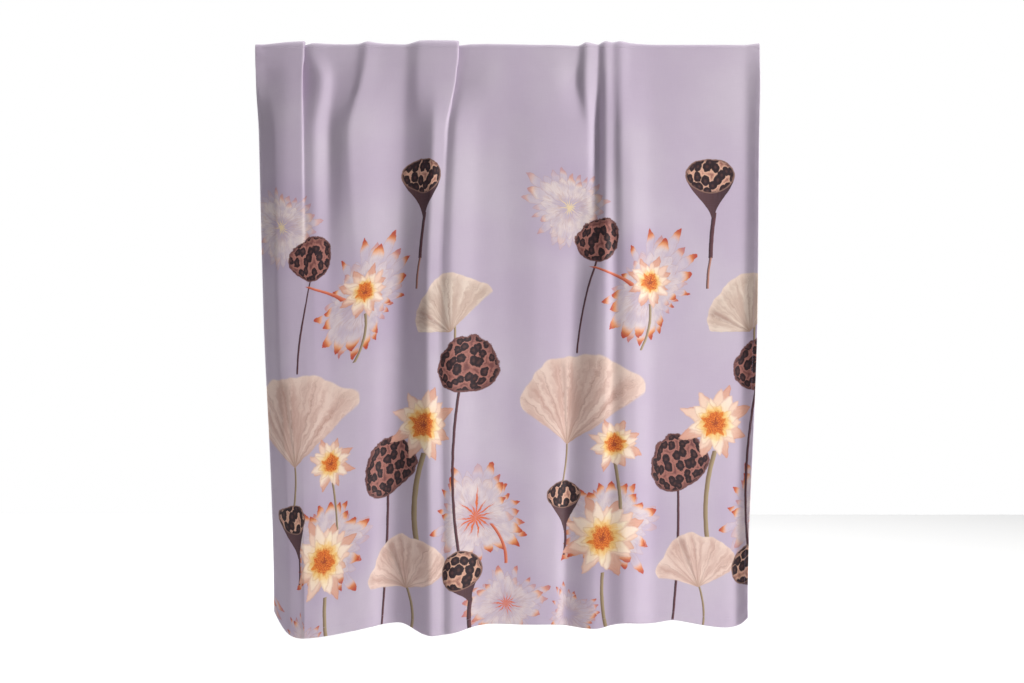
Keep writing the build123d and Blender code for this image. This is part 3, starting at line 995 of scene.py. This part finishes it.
def punched(points, xs, heights, width=9.0):
    """Loops of a header net with a round hole at each eyelet, and the points they add."""
    rows, columns = points.shape[:2]
    number = np.arange(rows * columns).reshape(rows, columns)
    low = min(k for k, h in enumerate(heights) if h is not None and h <= EYELET_UP + width)
    high = max(k for k, h in enumerate(heights) if h is not None and h >= EYELET_UP - width)
    skipped, extra, rings = set(), [], []
    for mount in EYELETS:
        centre = np.array(mount["pos_m"])
        inside = np.flatnonzero(np.abs(xs - centre[0]) <= width * MM + 1e-6)
        left, right = inside[0], inside[-1]
        skipped |= {(r, c) for r in range(low, high) for c in range(left, right)}
        cell = number[low:high + 1, left:right + 1]
        border = [*cell[:-1, 0], *cell[-1, :-1], *cell[:0:-1, -1], *cell[0, :0:-1]]
        base = rows * columns + len(extra)
        for k, point in enumerate(points.reshape(-1, 3)[border]):
            out = (point - centre) * [1, 0, 1]
            extra.append(point - out * (1 - EYELET_HOLE_R / np.linalg.norm(out)))
            n = (k + 1) % len(border)
            rings.append([int(border[k]), int(border[n]), base + n, base + k])
    return net_loops(rows, columns, skipped) + rings, np.array(extra)


def header_layer(name, behind_face, thick, heights, finishes, node, lip=0.0):
    """A layer of the header, with its holes. behind_face is how far it lies from the printed
    side, heights are mm above the free edge, or None for the rail's axis, and lip is how far the
    free edge is turned towards the printed side."""
    marks = [m["pos_m"][0] + side * step * MM for m in EYELETS for side in (-1, 1)
             for step in (9, 5)]
    centres = np.array([m["pos_m"][0] for m in EYELETS])
    spread = np.linspace(-HALF_TOP, HALF_TOP, 150)
    clear = np.min(np.abs(spread[:, None] - centres), axis=1) > 13 * MM
    xs = unique_sorted(np.concatenate([spread[clear], marks, centres]))[::-1]
    z = [xs * 0 if h is None else header_edge(xs) + h * MM for h in heights]
    face = np.stack(np.broadcast_arrays(xs, HEADER_FACE_Y - behind_face, z), axis=-1)
    face[-1, :, 1] += lip
    loops, extra = punched(face, xs, heights)
    face = rippled(np.concatenate([face.reshape(-1, 3), extra]))
    across = (face[:, 0] / HALF_TOP + 1) / 2 * FLAT[0]
    uv = np.stack([across, face[:, 2] - math.pi * RAIL_R], axis=-1)
    thin_cloth(name, face, face - [0, thick, 0], uv, finishes, "header", node, loops)


HEADER_HEIGHTS = [HEADER_HEM / MM, 33, 29, 25, 20, 15, 11, 6, 2, 0]
LAYER, TAPE_THICK = 0.6 * MM, 0.5 * MM


def header_pieces():
    """The header's printed layer, the tape that stiffens it, and its turned hem."""
    heights = [None, HEADER_HEM / MM + 6] + HEADER_HEIGHTS
    header_layer("header_cloth", 0, LAYER, heights, PRINTED, "header_flap")
    header_layer("header_tape_strip", LAYER, TAPE_THICK, HEADER_HEIGHTS[1:-2] + [3],
                 (TAPE, TAPE), "header_tape")
    header_layer("header_hem_cloth", LAYER + TAPE_THICK, LAYER, HEADER_HEIGHTS, TURNED,
                 "header_hem", TAPE_THICK)


# ---- hems on the panel ----
HEM_GAP = 0.05 * MM
SIDE_HEM_THICK, WEIGHT_THICK, POCKET_DEEP = 0.7 * MM, 1.0 * MM, 1.25 * MM


def behind(name, us, downs, gap, thick, places, finishes, node):
    """A layer behind the panel, a gap away from it. places are its flat places and heights."""
    points, normals = on_panel(us, downs)
    near = (THICK + np.atleast_1d(gap))[:, None, None]
    uv = flat_map(*places, points[..., 0])
    return thin_cloth(name, points - normals * near, points - normals * (near + thick), uv,
                      finishes, "panel", node)


def side_hem(edge):
    """The cloth turned twice to the back along one side."""
    left = edge == "left"
    us = np.linspace(0, SIDE_HEM, 6) + (0 if left else FLAT[0] - SIDE_HEM)
    top, bottom = SIDE_HEM_START - MM, HEM_TOP + MM
    downs = PANEL_DOWN[(PANEL_DOWN > top) & (PANEL_DOWN < bottom)]
    mirrored = -us if left else 2 * FLAT[0] - us
    return behind(f"{edge}_hem_cloth", us, downs, HEM_GAP, SIDE_HEM_THICK, (mirrored, downs),
                  TURNED, f"{edge}_side_hem")


def bottom_hem():
    """The cloth turned up to the back along the bottom, round the weighted tape."""
    up = np.array([30, 24, 21, 19, 17.5, 15, 9, 4, 2.2, 0.8, 0]) * MM
    pocket = POCKET_DEEP * smooth(up, 0, 3 * MM) * (1 - smooth(up, 17 * MM, 20 * MM))
    return behind("bottom_hem_cloth", PANEL_U, FRONT_DROP - up, HEM_GAP + pocket, LAYER,
                  (PANEL_U, FRONT_DROP + up), TURNED, "bottom_hem")


def weight_strip():
    """The weighted tape in the bottom hem."""
    us, downs = PANEL_U[2:-2], FRONT_DROP - np.array([16.5, 13, 10, 7, 3.5]) * MM
    behind("weight_strip", us, downs, 2 * HEM_GAP, WEIGHT_THICK, (us, downs),
           (TAPE, TAPE), "weight_tape")


# ---- stitching ----
STITCH_PITCH, STITCH_LONG, THREAD_R = 3.6 * MM, 2.9 * MM, 0.3 * MM
TACK_WIDE, TACK_STITCHES, TACK_LONG = 9 * MM, 16, 2.2 * MM


def stitches(name, centres, along, outwards, node, body="panel", material=THREAD,
             long=STITCH_LONG):
    """Separate stitches: rounded bars with pinched ends that dip into the cloth."""
    angles = np.arange(6) * math.pi / 3
    stations = [(-0.5, 0.35, -0.9), (-0.36, 0.9, 0.1), (0, 1, 0.5), (0.36, 0.9, 0.1),
                (0.5, 0.35, -0.9)]
    c, s = np.cos(angles)[:, None], np.sin(angles)[:, None]
    points, faces = [], []
    for centre, direction, up in zip(centres, along, outwards):
        direction = direction / np.linalg.norm(direction)
        side = np.cross(direction, up)
        side /= np.linalg.norm(side)
        base = len(points)
        for place, width, lift in stations:
            middle = centre + direction * place * long + up * lift * THREAD_R
            points.extend(middle + (side * c + up * s) * THREAD_R * width)
        last = len(points) - 6
        for start in range(base, last, 6):
            for j in range(6):
                n = (j + 1) % 6
                faces.append(([start + j, start + n, start + 6 + n, start + 6 + j], material))
        faces.append(([base + j for j in range(5, -1, -1)], material))
        faces.append(([last + j for j in range(6)], material))
    new_piece(name, points, faces, body, node)


def seam(name, line, up, deep, node, body="panel"):
    """The stitches along a line, and on the back a depth below it."""
    along = np.gradient(line, axis=0)
    stitches(name, [*line, *(line - up * deep)], [*along, *along], [*up, *-up], node, body)


def seams():
    """The stitching of all the hems."""
    downs = np.arange(SIDE_HEM_START + 3 * MM, HEM_TOP, STITCH_PITCH)
    inset = SIDE_HEM - SEAM_INSET
    for edge, u in (("left", inset), ("right", FLAT[0] - inset)):
        points, normals = on_panel(np.array([u]), downs)
        seam(f"{edge}_stitches", points[:, 0], normals[:, 0], THICK + 0.75 * MM,
             f"{edge}_side_seam")
    us = np.arange(3 * MM, FLAT[0] - 2 * MM, STITCH_PITCH)
    points, normals = on_panel(us, np.array([HEM_TOP + SEAM_INSET]))
    seam("bottom_stitches", points[0], normals[0], THICK + 0.65 * MM, "bottom_seam")
    xs = np.arange(-HALF_TOP + 3 * MM, HALF_TOP - 2 * MM, STITCH_PITCH)
    z = header_edge(xs) + HEADER_HEM - SEAM_INSET
    line = rippled(np.stack([xs, np.full_like(xs, HEADER_FACE_Y), z], -1))
    seam("header_stitches", line, np.tile([0.0, 1.0, 0.0], (len(xs), 1)), 1.7 * MM,
         "header_seam", "header")


def bartacks():
    """The bars of close stitches at the ends of the side hems."""
    for edge, middle in (("left", SIDE_HEM / 2), ("right", FLAT[0] - SIDE_HEM / 2)):
        for level, down in (("top", SIDE_HEM_START + 4 * MM), ("bottom", HEM_TOP - 4 * MM)):
            us = middle + np.linspace(-TACK_WIDE / 2, TACK_WIDE / 2, TACK_STITCHES)
            points, normals = on_panel(us, down + np.array([-1, 0, 1]) * MM)
            line = points[1] - normals[1] * (THICK + 0.8 * MM)
            along = points[2] - points[0] + 0.25 * np.gradient(points[1], axis=0)
            stitches(f"{edge}_{level}_tack", line, along, -normals[1],
                     f"{edge}_{level}_bartack", long=TACK_LONG)


# ---- the care label ----
LABEL_TOP, LABEL_LENGTH, LABEL_WIDTH, LABEL_UNDER = 1620 * MM, 55 * MM, 26 * MM, 8 * MM
LABEL_OFF, LABEL_CURL, LABEL_THICK = 1.2 * MM, 3.2 * MM, 0.25 * MM
LABEL_ROWS, LABEL_COLUMNS = 15, 14


def care_label():
    """A blank satin label sewn under the right side hem's edge, curling a little."""
    across = np.linspace(LABEL_UNDER - LABEL_WIDTH, LABEL_UNDER, LABEL_COLUMNS)
    downs = LABEL_TOP + np.linspace(0, LABEL_LENGTH, LABEL_ROWS)
    points, normals = on_panel(FLAT[0] - SIDE_HEM + across, downs)
    curl = (np.clip(-across, 0, 1) / (LABEL_WIDTH - LABEL_UNDER)) ** 2
    off = THICK + LABEL_OFF + LABEL_CURL * curl * np.linspace(0.6, 1, LABEL_ROWS)[:, None]
    back = points - normals * off[..., None]
    face = back - normals * LABEL_THICK
    uv = np.stack(np.meshgrid(np.linspace(0, 1, LABEL_COLUMNS), np.linspace(0, 1, LABEL_ROWS)), -1)
    thin_cloth("label_cloth", back, face, uv, (SATIN, SATIN), "panel",
               "care_label")
    line = face[:, -2] - normals[:, -2] * 0.1 * MM
    along = np.gradient(line, axis=0)
    stitches("label_stitches", line[1:-1], along[1:-1], -normals[1:-1, -2], "label_seam",
             "panel", LABEL_THREAD)


# ---- putting it together ----
front = front_cloth()
fold = fold_cloth()
header_pieces()
hems = [side_hem("left"), side_hem("right"), bottom_hem()]
weight_strip()
seams()
bartacks()
care_label()
for node in frame["nodes"]:
    if node.startswith("eyelet_"):
        for material_slot in bpy.data.objects[node].material_slots:
            material_slot.material = NICKEL


# ---- floor, lights and camera ----
MIDDLE = Vector((0, 0, -0.95))
FLOOR_HALF, FLOOR_Z = 4.5, -2.08


def floor():
    """A plain pale floor just under the hanging cloth."""
    tree = Surface("floor", 0.9, 0.2)
    tree.shader["Base Color"].default_value = (0.94, 0.94, 0.94, 1)
    half, z = FLOOR_HALF, FLOOR_Z
    corners = [(-half, -half, z), (half, -half, z), (half, half, z), (-half, half, z)]
    mesh = bpy.data.meshes.new("floor")
    mesh.from_pydata(corners, [], [(0, 1, 2, 3)])
    mesh.materials.append(tree.material)
    placed("floor", mesh)


def area_light(name, place, target, size, watts, colour=(1, 1, 1)):
    """A soft rectangular light turned towards a place."""
    lamp = bpy.data.lights.new(name, "AREA")
    lamp.shape, lamp.size, lamp.size_y = "RECTANGLE", size[0], size[1]
    lamp.energy, lamp.color = watts, colour
    obj = placed(name, lamp)
    obj.location = place
    obj.rotation_euler = (Vector(target) - Vector(place)).to_track_quat("-Z", "Y").to_euler()


def studio_world(lit, seen):
    """A white surround, brighter to the camera than to the cloth."""
    world = bpy.data.worlds.new("studio")
    world.use_nodes = True
    bpy.context.scene.world = world
    tree, background = Tree(world.node_tree), world.node_tree.nodes["Background"]
    background.inputs["Color"].default_value = (1, 1, 1, 1)
    direct = Value(tree, tree.node("LightPath").outputs["Is Camera Ray"])
    tree.put(background.inputs["Strength"], direct * (seen - lit) + lit)


def camera():
    """A standard lens, level with the middle of the cloth."""
    data = bpy.data.cameras.new("camera")
    data.lens, data.sensor_width = 50, 36
    obj = placed("camera", data)
    obj.location = (0.015, -4.683, -0.962)
    obj.rotation_euler = (math.pi / 2, 0, 0)
    bpy.context.scene.camera = obj


floor()
area_light("key", (7.0, -4.3, 0.4), MIDDLE, (2.0, 4.0), 690, (1.0, 0.99, 0.97))
area_light("fill", (-1.2, -5.8, 0.6), MIDDLE, (2.0, 2.0), 10)
area_light("rear", (-5.0, 3.6, 0.8), MIDDLE, (2.0, 3.0), 170)
area_light("overhead", (0, 2.4, 4.5), (0, 2.4, -2), (10, 8), 560)
studio_world(0.075, 1.0)
camera()
bpy.context.scene.view_settings.view_transform = "Standard"
